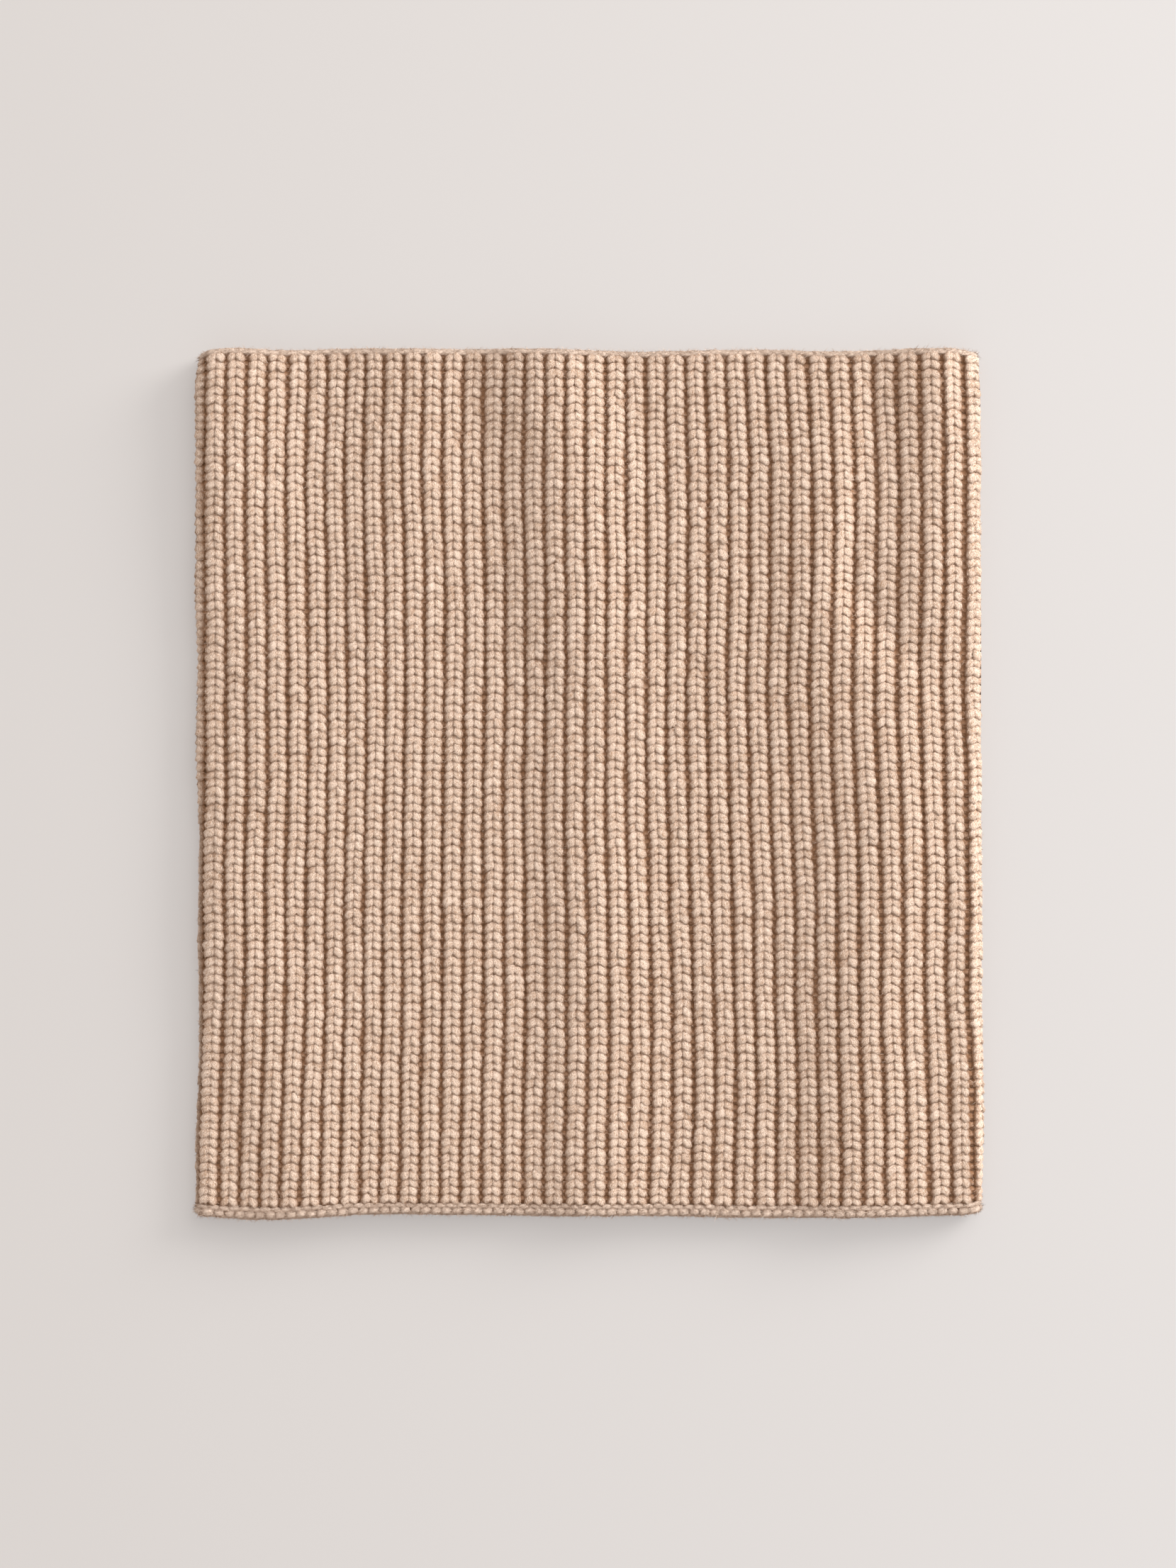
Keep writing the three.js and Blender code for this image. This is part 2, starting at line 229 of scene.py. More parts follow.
class Shade:
    """A socket of a material. Signs between these, or with numbers, add Math nodes."""

    def __init__(self, tree, socket=None):
        self.tree = tree
        self.socket = socket

    def node(self, kind, settings={}, inputs={}, output=0):
        """Any other node, with its settings, the values or links of its inputs, and the output to use."""
        made = self.tree.nodes.new(kind)
        for name, value in settings.items():
            setattr(made, name, value)
        for name, value in inputs.items():
            if isinstance(value, Shade):
                self.tree.links.new(value.socket, made.inputs[name])
            else:
                made.inputs[name].default_value = value
        return Shade(self.tree, made.outputs[output] if made.outputs else None)

    def math(self, operation, first, second=0.0):
        return self.node("ShaderNodeMath", {"operation": operation}, {0: first, 1: second})

    def __add__(self, other):
        return self.math("ADD", self, other)

    def __radd__(self, other):
        return self.math("ADD", other, self)

    def __sub__(self, other):
        return self.math("SUBTRACT", self, other)

    def __rsub__(self, other):
        return self.math("SUBTRACT", other, self)

    def __mul__(self, other):
        return self.math("MULTIPLY", self, other)

    def __rmul__(self, other):
        return self.math("MULTIPLY", other, self)

    def __pow__(self, other):
        return self.math("POWER", self, other)

    def stretched(self, scale):
        """A vector times a vector of numbers."""
        return self.node("ShaderNodeVectorMath", {"operation": "MULTIPLY"}, {0: self, 1: scale})

    def plus(self, other):
        """A vector plus a vector."""
        return self.node("ShaderNodeVectorMath", {"operation": "ADD"}, {0: self, 1: other})

    def speckle(self, scale, detail):
        """Noise from 0 to 1 at the places that this vector gives."""
        inputs = {"Vector": self, "Scale": scale, "Detail": detail, "Roughness": noise_roughness}
        return self.node("ShaderNodeTexNoise", {}, inputs)

    def blended(self, first, second):
        """From the first colour to the second one, by this value."""
        settings = {"data_type": "RGBA", "clamp_factor": True}
        return self.node("ShaderNodeMix", settings, {0: self, 6: first, 7: second}, output=2)


camel = (0.50, 0.32, 0.21, 1)
pale_camel = (0.925, 0.73, 0.595, 1)
# Painted shade: the yarn turns to this darker, browner colour where it lies deep among the stitches.
shaded_camel = (0.46, 0.235, 0.125, 1)
yarn_tint = (1.0, 0.8, 0.62, 1)
# Painted light: the yarn glows faintly warm, standing for light that comes through its fibres;
# glow_strength sets how much.
painted_yarn_glow = (1.0, 0.46, 0.20, 1)
softness = 0.8
noise_roughness = 0.7
fibre_stretch = (1.7, 4.6, 4.6)
fibre_contrast = 3.6
fibre_relief = 0.65
grain_scale = 4.2
grain_contrast = 3.4
grain_relief = 0.6
tuft_stretch = (0.35, 0.9, 0.9)
tuft_contrast = 0.6
tuft_relief = 0.3
yarn_lightness = 0.68
yarn_relief = 0.0008
yarn_roughness = 0.92
yarn_shine = 0.2
yarn_sheen = 0.2
sheen_roughness = 0.5
glow_strength = 0.05


def yarn_material(name, relief=None):
    """Soft brushed yarn: streaks of fibre along it, with painted shade, darker and browner, where it lies
    deep. Light spreads among the fibres, so its shading is softened towards the way that the tube faces,
    and a faint warm painted glow stands for the light that comes through them."""
    material = bpy.data.materials.new(name)
    material.use_nodes = True
    tree = material.node_tree
    tree.nodes.clear()
    start = Shade(tree)
    place = start.node("ShaderNodeAttribute", {"attribute_name": "yarn"}, output="Vector")
    tone = start.node("ShaderNodeAttribute", {"attribute_name": "tone"}, output="Fac")
    depth = start.node("ShaderNodeAttribute", {"attribute_name": "depth"}, output="Fac")
    out = start.node("ShaderNodeAttribute", {"attribute_name": "out"}, output="Vector")
    fibres = place.stretched(fibre_stretch).speckle(1.0, 2.0)
    grain = place.speckle(grain_scale, 2.0)
    tufts = place.stretched(tuft_stretch).speckle(1.0, 1.0)
    streak = (fibres - 0.5) * fibre_contrast + (grain - 0.5) * grain_contrast
    streak = streak + (tufts - 0.5) * tuft_contrast + tone + yarn_lightness
    face = streak.blended(camel, pale_camel)
    colour = depth.blended(face, shaded_camel)
    height = fibres * fibre_relief + grain * grain_relief + tufts * tuft_relief
    if relief:
        height = height + relief(start)
    way = {"vector_type": "NORMAL", "convert_from": "OBJECT", "convert_to": "WORLD"}
    wall_way = start.node("ShaderNodeVectorTransform", way, {0: out})
    yarn_way = start.node("ShaderNodeNewGeometry", {}, {}, output="Normal")
    soft_way = wall_way.stretched((softness,) * 3).plus(yarn_way.stretched((1 - softness,) * 3))
    bump_inputs = {"Height": height, "Strength": 1.0, "Distance": yarn_relief, "Normal": soft_way}
    bump = start.node("ShaderNodeBump", {}, bump_inputs)
    finish = {
        "Base Color": colour,
        "Roughness": yarn_roughness,
        "Normal": bump,
        "Specular IOR Level": yarn_shine,
        "Sheen Weight": yarn_sheen,
        "Sheen Roughness": sheen_roughness,
        "Sheen Tint": yarn_tint,
        "Emission Color": painted_yarn_glow,
        "Emission Strength": glow_strength,
    }
    surface = start.node("ShaderNodeBsdfPrincipled", {}, finish)
    start.node("ShaderNodeOutputMaterial", {}, {"Surface": surface})
    return material


row_pitch = 3.137
row_count = 100
first_row_y = 156.9
groove_floor = -0.5
under_stitches = 0.7
back_rib_fullness = 2.6
back_rib_roundness = 0.6
back_stations = [0, 0.14, 0.32, 0.5, 0.68, 0.86]
front_stations = [0, 0.3, 0.7]
tube_section_count = 81
tube_top = 159.0
tube_bottom = -156.6
tube_depth_span = 3.0
tube_depth_curve = 0.8
inside_depth = 0.4
stitch_slant = 1.4
stitch_fullness = 2.5
stitch_relief = 3.0
middle_line_sharpness = 6


def ring_of_ribs(y):
    """Distances across all round a section, the count of ribs up to each, and which lie on the back."""
    front = [groove_across(np.full_like(y, groove), y) for groove in range(groove_count)]
    left, right = flats(y)
    lap = 2 * (right - left + np.pi * fold_radius)
    back_start = front[-1] + edge_rib_pitch
    back_end = front[0] - edge_rib_pitch + lap
    back = [back_start + (back_end - back_start) * k / (groove_count - 1) for k in range(groove_count)]
    edges = front + back + [front[0] + lap]
    across = []
    shares = []
    on_back = []
    for rib in range(len(edges) - 1):
        is_back = groove_count <= rib < 2 * groove_count - 1
        for share in back_stations if is_back else front_stations:
            across.append(edges[rib] + (edges[rib + 1] - edges[rib]) * share)
            shares.append(rib + share)
            on_back.append(is_back)
    return np.stack(across, axis=1), np.array(shares), np.array(on_back)


def knit_relief(start):
    """Rows of slanted stitches, for the half of the tube that lies on the surface."""
    place = start.node("ShaderNodeAttribute", {"attribute_name": "stitch"}, output="Vector")
    parts = start.node("ShaderNodeSeparateXYZ", {}, {0: place})
    from_crown = start.math("ABSOLUTE", start.math("FRACT", parts) - 0.5)
    row = start.node("ShaderNodeSeparateXYZ", {}, {0: place}, output=1)
    row = row + from_crown * stitch_slant
    across_row = start.math("FRACT", row) * 2 - 1
    middle_line = start.math("MINIMUM", from_crown * middle_line_sharpness, 1.0)
    return (1 - start.math("ABSOLUTE", across_row) ** stitch_fullness) * stitch_relief * middle_line


def make_tube():
    """The whole tube as one closed skin: under the stitches in front, and ribbed behind."""
    ys = np.linspace(tube_top, tube_bottom, tube_section_count)
    across, shares, on_back = ring_of_ribs(ys)
    from_crown = np.abs(2 * np.mod(shares, 1) - 1)
    full = (1 - from_crown**back_rib_fullness) ** back_rib_roundness
    low = groove_floor + (under_stitches - groove_floor) * full
    high = rib_height * full
    raised = np.broadcast_to(np.where(on_back, high, low), across.shape)
    y = np.broadcast_to(ys[:, None], across.shape)
    outside = on_tube(across, y, raised)
    inside = on_tube(across, y, np.full(across.shape, -wall_thickness))
    sections, stations = across.shape
    points = np.concatenate([outside.reshape(-1, 3), inside.reshape(-1, 3)])
    index = np.arange(sections * stations).reshape(sections, stations)
    ahead = np.roll(index, -1, axis=1)
    skin = np.stack([index[:-1], index[1:], ahead[1:], ahead[:-1]], axis=-1).reshape(-1, 4)
    inner = skin[:, ::-1] + sections * stations
    inner_ring = index + sections * stations
    inner_ahead = ahead + sections * stations
    top = np.stack([index[0], ahead[0], inner_ahead[0], inner_ring[0]], axis=-1)
    bottom = np.stack([ahead[-1], index[-1], inner_ring[-1], inner_ahead[-1]], axis=-1)
    # Painted shade: the skin turns darker and browner the lower it lies below the crowns, and its inside
    # has inside_depth of it all over.
    depth = np.clip((rib_height - raised) / tube_depth_span, 0, 1) ** tube_depth_curve
    stitch = np.stack([np.broadcast_to(shares, across.shape), y / row_pitch, y * 0], axis=-1)
    yarn = np.stack([y, across, raised], axis=-1)
    out = facing(across, y).reshape(-1, 3)
    values = {
        "out": np.concatenate([out, -out]),
        "yarn": np.tile(yarn.reshape(-1, 3), (2, 1)),
        "stitch": np.tile(stitch.reshape(-1, 3), (2, 1)),
        "tone": np.zeros(len(points)),
        "depth": np.concatenate([depth.ravel(), np.full(across.size, inside_depth)]),
    }
    material = yarn_material("camel_rib_fabric", knit_relief)
    return make_piece("knit_tube", points, [skin, inner, top, bottom], values, material)


tube = make_tube()
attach(tube, "root")
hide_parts("front_panel", "back_panel")


# Knit stitches of the front half
# Each rib is one column of stitches. A stitch shows as two fat legs of soft yarn that lean together at
# the top, with the top of each tucked under the stitch above and its foot in the groove.
rng = np.random.default_rng(38)
rib_count = groove_count + 1
leg_across = np.array([0.06, 0.7, 1.4, 2.05, 2.6])
leg_drop = np.array([0.0, 0.16, 0.5, 1.05, 1.7])
leg_sink = np.array([0.32, 0.08, 0.0, 0.25, 0.95])
leg_taper = np.array([0.8, 0.98, 1.02, 1.0, 0.86])
leg_sides = 6
leg_radius = 1.5
leg_breadth = 1.6
leg_lean = -0.22
leg_head = 0.8
leg_twist = 0.5
leg_roughness = 0.07
leg_deep = 1.3
fold_groove_gape = 0.8
leg_plump_spread = 0.045
leg_drop_spread = 0.15
leg_y_spread = 0.13
leg_across_spread = 0.08
leg_raised_spread = 0.12
row_waves = [(0.55, 17), (0.35, 7.3), (0.12, 2.1)]
settled_rows = 6
rib_waves = [(0.14, 9, 1), (0.08, 3.7, 2)]
tone_spread = 0.1
tip_share = 0.45
# pale_crown, deepest and each strand's deep set the painted shade of the stitches: how far below the
# crowns it starts, how far it goes, and how fast it grows.
pale_crown = 0.45
deepest = 1.2
yarn_lengths = 200
camel_yarn = yarn_material("camel_yarn")
paths = []


def make_strands(name, axis, radii, sides, tone, twist=0.5, breadth=1, lean=0, rough=0.05, deep=1.9):
    """Closed lengths of yarn. axis holds the middle of each one's rings, as across, y and raised. A
    section is wider along y by breadth, and its side towards the cast-on edge is raised by lean. The yarn
    turns to its painted shade, a darker browner colour, over the distance deep below the crowns."""
    count, rings = axis.shape[:2]
    paths.append((axis, radii, breadth, lean))
    tangent = np.gradient(axis, axis=1)
    tangent /= np.linalg.norm(tangent, axis=-1, keepdims=True)
    up = np.array([0, 0, 1.0]) - tangent * tangent[..., 2:]
    up /= np.linalg.norm(up, axis=-1, keepdims=True)
    beside = np.cross(tangent, up)
    angle = 2 * np.pi * np.arange(sides) / sides
    cosine = np.cos(angle)[:, None]
    sine = np.sin(angle)[:, None]
    round_about = cosine * beside[:, :, None] + sine * up[:, :, None]
    round_about[..., 1] *= breadth
    round_about[..., 2] += round_about[..., 1] * lean
    uneven = radii[:, :, None, None] * (1 + rng.normal(0, rough, (count, rings, sides, 1)))
    rim = axis[:, :, None] + uneven * round_about
    tip_reach = tip_share * radii[..., None]
    first_tip = axis[:, :1] - tangent[:, :1] * tip_reach[:, :1]
    last_tip = axis[:, -1:] + tangent[:, -1:] * tip_reach[:, -1:]
    local = np.concatenate([first_tip, rim.reshape(count, -1, 3), last_tip], axis=1)
    points = on_tube(local[..., 0], local[..., 1], local[..., 2]).reshape(-1, 3)

    steps = np.linalg.norm(np.diff(axis, axis=1), axis=-1)
    along = np.concatenate([np.zeros((count, 1)), np.cumsum(steps, axis=1)], axis=1)
    wound = angle[None, None] + along[..., None] * np.broadcast_to(twist, count)[:, None, None]
    yarn = np.stack(
        [
            np.broadcast_to(along[..., None], wound.shape),
            np.cos(wound) * radii[..., None],
            np.sin(wound) * radii[..., None],
        ],
        axis=-1,
    ).reshape(count, -1, 3)
    ends = np.zeros((count, 1, 3))
    last_end = ends.copy()
    last_end[:, 0, 0] = along[:, -1]
    yarn = np.concatenate([ends, yarn, last_end], axis=1)
    yarn = yarn + rng.uniform(0, yarn_lengths, (count, 1, 3))

    rim_index = 1 + np.arange(rings * sides).reshape(rings, sides)
    rim_ahead = np.roll(rim_index, -1, axis=1)
    quads = np.stack([rim_index[:-1], rim_ahead[:-1], rim_ahead[1:], rim_index[1:]], axis=-1)
    quads = quads.reshape(-1, 4)
    zeros = np.zeros(sides, int)
    size = rings * sides + 2
    first_cap = np.stack([zeros, rim_ahead[0], rim_index[0]], axis=-1)
    last_cap = np.stack([zeros + size - 1, rim_index[-1], rim_ahead[-1]], axis=-1)
    caps = np.concatenate([first_cap, last_cap])
    offsets = (np.arange(count) * size)[:, None, None]
    faces = [(quads[None] + offsets).reshape(-1, 4), (caps[None] + offsets).reshape(-1, 3)]
    # Painted shade, from how deep each point lies below the crowns.
    depth = np.clip((rib_height - pale_crown - local[..., 2]) / deep, 0, deepest)
    out = facing(axis[:, rings // 2, 0], axis[:, rings // 2, 1])
    values = {
        "out": np.repeat(out, size, axis=0),
        "yarn": yarn.reshape(-1, 3),
        "tone": np.repeat(tone, size),
        "depth": depth.ravel(),
    }
    return make_piece(name, points, faces, values, camel_yarn)


def row_places(columns):
    """y of each stitch, in each column. The rows of neighbouring columns wander past each other."""
    rows = np.arange(row_count)
    y = np.empty((len(columns), row_count))
    for place in range(len(columns)):
        phase = rng.uniform(0, 2 * np.pi, 3)
        wander = sum(size * np.sin(rows / run + phase[k]) for k, (size, run) in enumerate(row_waves))
        settled = np.minimum(rows / settled_rows, 1)
        settled = settled * np.minimum((row_count - 1 - rows) / settled_rows, 1)
        y[place] = first_row_y - rows * row_pitch + wander * settled
    return y


def make_ribs(name, columns):
    """Both legs of every stitch in some of the columns."""
    y = row_places(columns)
    column = np.broadcast_to(columns[:, None], y.shape)
    wander_phase = rng.uniform(0, 2 * np.pi, (len(columns), 1))
    wander = sum(size * np.sin(y / run + turns * wander_phase) for size, run, turns in rib_waves)
    legs = []
    radii = []
    for side in (-1, 1):
        plump_odd, y_odd, across_odd, raised_odd, drop_odd = rng.normal(0, 1, (5,) + y.shape + (1,))
        plump = leg_radius * (1 + leg_plump_spread * plump_odd)
        pitch = groove_across(column, y) - groove_across(column - 1, y)
        ease = (pitch / rib_pitch)[..., None]
        by_right_fold = column == (rib_count - 2 if side > 0 else rib_count - 1)
        gape = np.where(by_right_fold, fold_groove_gape, 1)[..., None]
        beside = (leg_across + leg_across_spread * across_odd) * ease * gape
        drop = leg_drop * (1 + leg_drop_spread * drop_odd)
        leg_y = y[..., None] + leg_head - drop + leg_y_spread * y_odd
        across = groove_across(column[..., None] - 0.5, leg_y) + wander[..., None] + side * beside
        raised = rib_height - leg_radius - leg_sink + leg_raised_spread * raised_odd
        legs.append(np.stack(np.broadcast_arrays(across, leg_y, raised), axis=-1))
        radii.append(plump * leg_taper)
    axis = np.concatenate(legs).reshape(-1, len(leg_across), 3)
    radii = np.concatenate(radii).reshape(-1, len(leg_across))
    tone = rng.normal(0, tone_spread, len(axis))
    twist = np.repeat([-leg_twist, leg_twist], len(axis) // 2)
    shape = {"breadth": leg_breadth, "lean": leg_lean, "rough": leg_roughness, "deep": leg_deep}
    return make_strands(name, axis, radii, leg_sides, tone, twist, **shape)


rib_groups = np.array_split(np.arange(rib_count), 4)
ribs = [make_ribs(f"ribs_{place + 1}", group) for place, group in enumerate(rib_groups)]
for piece in ribs:
    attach(piece, "root")


# Purl bumps in the grooves
# Between the ribs the columns face the other way, so the groove floor shows the heads of their loops:
# short curved bars of yarn, one to a row, set well below the crowns.
bar_rings = np.array([-1.0, -0.4, 0.4, 1.0])
bar_sides = 5
bar_radius = 1.4
bar_half_width = 1.75
bar_arch = 0.5
bar_height = -0.85
bar_droop = 0.35
bar_spread = 0.12


def make_groove_bars():
    """One bar to a row in every groove."""
    grooves = np.arange(groove_count)
    y = row_places(grooves)
    groove = np.broadcast_to(grooves[:, None], y.shape)[..., None]
    y_odd, raised_odd = rng.normal(0, 1, (2,) + y.shape + (1,))
    bar_y = y[..., None] + bar_arch * (1 - bar_rings**2) + bar_spread * y_odd
    across = groove_across(groove, bar_y) + bar_half_width * bar_rings
    raised = bar_height + bar_spread * raised_odd - bar_droop * bar_rings**2
    axis = np.stack(np.broadcast_arrays(across, bar_y, raised), axis=-1).reshape(-1, len(bar_rings), 3)
    radii = np.full(axis.shape[:2], bar_radius)
    tone = rng.normal(0, tone_spread, len(axis))
    return make_strands("groove_bars", axis, radii, bar_sides, tone)


groove_bars = make_groove_bars()
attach(groove_bars, "root")


# Cast-on edge
# The loop was started here. The starting row shows as one thin, even cord of yarn round the opening,
# and the ribs run up to it.
cord_count = 4 * groove_count
cord_rings = np.array([-1.0, -0.5, 0.0, 0.5, 1.0])
cord_taper = np.array([0.75, 0.95, 1, 0.95, 0.75])
cord_sides = 7
cord_reach = 0.75
cord_slant = 0.15
cord_climb = 0.25
cord_spread = 0.08
cord_radius = 1.2
cord_y = 158.8
cord_raised = 0.75
# cord_deep keeps the cord's painted shade faint, and the cord gets a paler tone, a painted highlight
# where it catches the light along the edge.
cord_deep = 6
cord_lit_tone = 0.8
cord_tone_spread = 0.08


def ring_cords(count, y):
    """Even places round the tube at one y, and the distance from one to the next."""
    left, right = flats(np.array(y))
    lap = 2 * (right - left + np.pi * fold_radius)
    return left + lap * np.arange(count) / count, lap / count


def make_cast_on():
    """Short lengths that overlap, each a little askew, so that the cord looks twisted."""
    places, pitch = ring_cords(cord_count, cord_y)
    s = cord_rings[None]
    y_odd, raised_odd = rng.normal(0, 1, (2, cord_count, 1))
    across = places[:, None] + cord_reach * pitch * s
    y = cord_y - cord_slant * s + cord_spread * y_odd
    raised = cord_raised + cord_climb * s + cord_spread * raised_odd - cord_climb * s**2
    axis = np.stack(np.broadcast_arrays(across, y, raised), axis=-1)
    radii = cord_radius * np.broadcast_to(cord_taper, axis.shape[:2])
    tone = rng.normal(cord_lit_tone, cord_tone_spread, cord_count)
    return make_strands("cast_on_edge", axis, radii, cord_sides, tone, deep=cord_deep)


cast_on = make_cast_on()
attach(cast_on, "root")


# Bound-off chain edges
# The last row is closed by a chain of links, two to a rib, on the front half and on the back half. Each
# link is a round bead of yarn, and thinner arms above and below bridge the slit to the next link.
link_count = 2 * groove_count
link_rings = np.array([-1.0, -0.6, 0.0, 0.6, 1.0])
link_taper = np.array([0.8, 0.98, 1.0, 0.98, 0.8])
link_sides = 7
link_spread = 0.12
link_raised_spread = 0.1
bead_radius = 1.6
bead_half_length = 1.35
bead_y = -158.2
bead_raised = 1.15
bead_slant = 0.2
bead_droop = 0.3
arm_radius = 1.1
arm_half_length = 1.9
arm_arch = 0.5
arm_y = -156.8
arm_raised = 1.1
arm_droop = 0.4
foot_radius = 0.8
foot_half_length = 1.9
foot_y = -159.3
foot_raised = 0.5
foot_y_spread = 0.1
foot_droop = 0.3
# chain_deep keeps the links' painted shade faint, and the links get a paler tone, a painted highlight
# where the chain catches the light along the edge.
chain_deep = 12
chain_lit_tone = 1.0


def make_chain(name, first):
    """Half of the chain round the opening, from its first link on."""
    places, pitch = ring_cords(2 * link_count, bead_y)
    places = places[first:first + link_count, None]
    odd = rng.normal(0, 1, (9, link_count, 1))
    bead = (
        places + bead_half_length * link_rings + link_spread * odd[0],
        bead_y + link_spread * odd[1] + bead_slant * link_rings,
        bead_raised + link_raised_spread * odd[2] - bead_droop * link_rings**2,
    )
    arm = (
        places + pitch / 2 + arm_half_length * link_rings + link_spread * odd[3],
        arm_y + arm_arch * (1 - link_rings**2) + link_spread * odd[4],
        arm_raised + link_raised_spread * odd[5] - arm_droop * link_rings**2,
    )
    foot = (
        places + pitch / 2 + foot_half_length * link_rings + link_spread * odd[6],
        foot_y + foot_y_spread * odd[7],
        foot_raised + link_raised_spread * odd[8] - foot_droop * link_rings**2,
    )
    axis = np.concatenate([np.stack(np.broadcast_arrays(*part), axis=-1) for part in (bead, arm, foot)])
    thickness = np.repeat([bead_radius, arm_radius, foot_radius], link_count)[:, None]
    tone = rng.normal(chain_lit_tone, tone_spread, len(axis))
    return make_strands(name, axis, thickness * link_taper, link_sides, tone, deep=chain_deep)


front_chain = make_chain("bound_off_chain_front", 0)
back_chain = make_chain("bound_off_chain_back", link_count)
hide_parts("bound_off_front")
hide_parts("bound_off_back")
for piece in (front_chain, back_chain):
    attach(piece, "root")

stitch_pieces = ribs + [groove_bars, cast_on, front_chain, back_chain]


# Loose fibres
# The yarn is brushed, so fine short fibres stand off it everywhere. They show most along the outline,
# so the last three strands made, which are those of the two open edges, get a larger share of them.
fibre_count = 170000
fibre_half_width = 0.09
fibre_lengths = (0.7, 1.8)
fibre_turn = 0.45
fibre_lift = 0.5
edge_fibre_lift = 1.3
fibre_heading = 0.8
fibre_arc = (0.05, 0.95)
# Painted highlight: the loose fibres get a paler tone, so that they show as fuzz that catches the light.
lit_fibre_tone = 0.3
fibre_tone_spread = 0.35
# fibre_pale_crown, fibre_deep and fibre_deepest set a weaker painted shade on the fibres.
fibre_pale_crown = 0.9
fibre_deep = 3.0
fibre_deepest = 0.8
edge_share = 8
edge_path_count = 3


def make_fibres(name, count):
    """Each fibre is one thin blade, rooted on the outside of a strand of yarn."""
    path_of = rng.choice(len(paths), count, p=fibre_shares)
    base = np.empty((count, 3))
    tangent = np.empty((count, 3))
    radius = np.empty((count, 1))
    breadths = np.empty((count, 1))
    leans = np.empty((count, 1))
    lifts = np.empty((count, 1))
    for number, (axis, radii, breadth, lean) in enumerate(paths):
        mine = np.flatnonzero(path_of == number)
        strand = rng.integers(0, len(axis), len(mine))
        ring = rng.integers(0, axis.shape[1] - 1, len(mine))
        share = rng.uniform(0, 1, (len(mine), 1))
        first, second = axis[strand, ring], axis[strand, ring + 1]
        base[mine] = first + (second - first) * share
        tangent[mine] = (second - first) / np.linalg.norm(second - first, axis=1, keepdims=True)
        radius[mine, 0] = radii[strand, ring]
        breadths[mine] = breadth
        leans[mine] = lean
        lifts[mine] = edge_fibre_lift if number >= len(paths) - edge_path_count else fibre_lift
    up = np.array([0, 0, 1.0]) - tangent * tangent[:, 2:]
    up /= np.linalg.norm(up, axis=1, keepdims=True)
    beside = np.cross(tangent, up)
    angle = rng.uniform(*fibre_arc, (count, 1)) * np.pi
    out = np.cos(angle) * beside + np.sin(angle) * up
    round_about = np.cross(tangent, out)
    onto = out * np.concatenate([np.ones((count, 1)), breadths, np.ones((count, 1))], axis=1)
    onto[:, 2:] += onto[:, 1:2] * leans
    root = base + onto * radius
    reach = rng.uniform(*fibre_lengths, (count, 1))
    heading = tangent * rng.choice([-1, 1], (count, 1))
    heading = heading + round_about * rng.normal(0, fibre_turn, (count, 1))
    heading = heading * fibre_heading + out * rng.uniform(0, 1, (count, 1)) * lifts
    tip = root + heading * reach
    half_width = np.cross(heading, out) * fibre_half_width
    local = np.stack([root + half_width, root - half_width, tip], axis=1)
    points = on_tube(local[..., 0], local[..., 1], local[..., 2]).reshape(-1, 3)
    faces = [np.arange(3 * count).reshape(-1, 3)]
    # A weaker painted shade on the fibres, from how deep each point lies.
    depth = np.clip((rib_height - fibre_pale_crown - local[..., 2]) / fibre_deep, 0, fibre_deepest)
    yarn = local + rng.uniform(0, yarn_lengths, (count, 1, 3))
    values = {
        "yarn": yarn.reshape(-1, 3),
        "tone": np.repeat(rng.normal(lit_fibre_tone, fibre_tone_spread, count), 3),
        "out": np.repeat(facing(base[:, 0], base[:, 1]), 3, axis=0),
        "depth": depth.ravel(),
    }
    return make_piece(name, points, faces, values, camel_yarn)


strand_counts = np.array([len(path[0]) for path in paths], float)
strand_counts[-edge_path_count:] *= edge_share
fibre_shares = strand_counts / strand_counts.sum()
fibres = make_fibres("loose_fibres", fibre_count)
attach(fibres, "root")
stitch_pieces.append(fibres)


# Floor and soft studio light
# The scarf lies on a plain pale surface. The surface glows faintly, a painted light that keeps the
# shadows on it soft, and the glow is painted brighter to the right. A broad soft light comes from the
# upper right, a weaker and lower one from the same side gives the shadow at the left, and a pale surround
# lights the rest.
floor_half = 3.0
floor_drop = 0.0002
floor_colour = (0.262, 0.246, 0.235, 1)
floor_speck_colour = (0.272, 0.256, 0.245, 1)
floor_speck_scale = 6.0
floor_speck_share = 0.3
floor_roughness = 0.7
# Painted light: the floor glows, so the shadows on it stay soft, and left_glow to right_glow paint it
# brighter towards the right.
floor_glow_strength = 0.375
glow_turn = 2.0
left_glow = (0.94, 0.875, 0.84, 1)
right_glow = (1.09, 1.045, 1.03, 1)
floor_points = np.array([[-1, -1, 0], [1, -1, 0], [1, 1, 0], [-1, 1, 0]]) * floor_half / mm


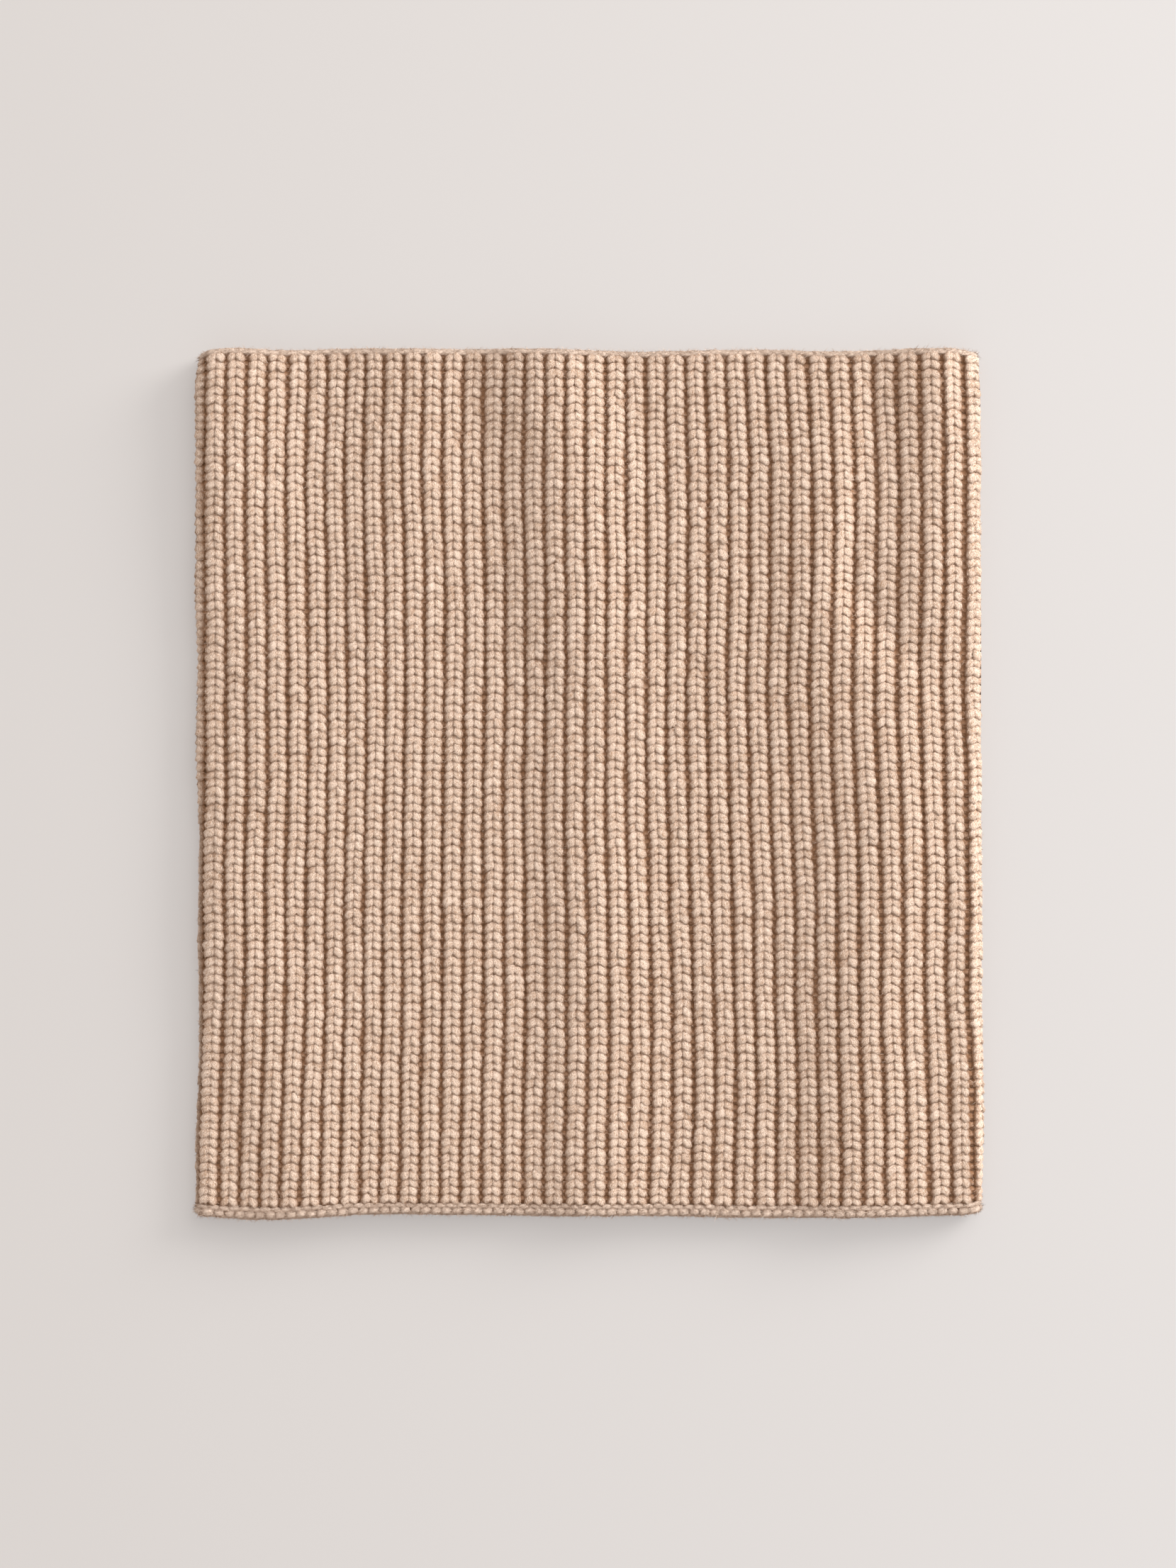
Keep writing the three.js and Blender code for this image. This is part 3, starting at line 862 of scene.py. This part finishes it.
def floor_material():
    material = bpy.data.materials.new("pale_surface")
    material.use_nodes = True
    tree = material.node_tree
    tree.nodes.clear()
    start = Shade(tree)
    place = start.node("ShaderNodeTexCoord", {}, {}, output="Object")
    grain = place.speckle(floor_speck_scale, 3.0)
    colour = (grain * floor_speck_share).blended(floor_colour, floor_speck_colour)
    across = start.node("ShaderNodeSeparateXYZ", {}, {0: place})
    glow = (across * glow_turn + 0.5).blended(left_glow, right_glow)
    finish = {
        "Base Color": colour,
        "Roughness": floor_roughness,
        "Emission Color": glow,
        "Emission Strength": floor_glow_strength,
    }
    surface = start.node("ShaderNodeBsdfPrincipled", {}, finish)
    start.node("ShaderNodeOutputMaterial", {}, {"Surface": surface})
    return material


floor = make_piece("floor", floor_points, [np.array([[0, 1, 2, 3]])], {}, floor_material())
floor.location.z = -floor_drop


def add_light(name, kind, place, settings):
    """A light that shines at the middle of the surface."""
    data = bpy.data.lights.new(name, kind)
    for key, value in settings.items():
        setattr(data, key, value)
    light = bpy.data.objects.new(name, data)
    light.location = place
    light.rotation_euler = light.location.to_track_quat("Z", "Y").to_euler()
    bpy.context.scene.collection.objects.link(light)


key_settings = {"energy": 1.7, "angle": np.radians(60), "color": (1.0, 0.99, 0.975)}
side_settings = {"energy": 60, "shape": "DISK", "size": 1.3}
add_light("key_light", "SUN", (0.60, 0.68, 0.80), key_settings)
add_light("side_light", "AREA", (1.92, 1.2, 0.93), side_settings)

world = bpy.data.worlds.new("studio")
world.use_nodes = True
surround = world.node_tree.nodes["Background"]
surround.inputs["Color"].default_value = (1.0, 0.99, 0.985, 1)
surround.inputs["Strength"].default_value = 0.66
bpy.context.scene.world = world
bpy.context.scene.view_settings.view_transform = "Standard"


# Camera
# Straight above the middle of the scarf, so the sides of the frame lie along the edges of the surface.
# The photograph's frame is 577 mm high at the level of the ribs.
camera_height = 1.7
frame_height = 0.5769
sensor = 36
camera_data = bpy.data.cameras.new("camera")
camera_data.sensor_width = sensor
camera_data.lens = sensor * camera_height / frame_height
camera = bpy.data.objects.new("camera", camera_data)
camera.location = (0, 0, camera_height + (middle_level + rib_height) * mm)
bpy.context.scene.collection.objects.link(camera)
bpy.context.scene.camera = camera
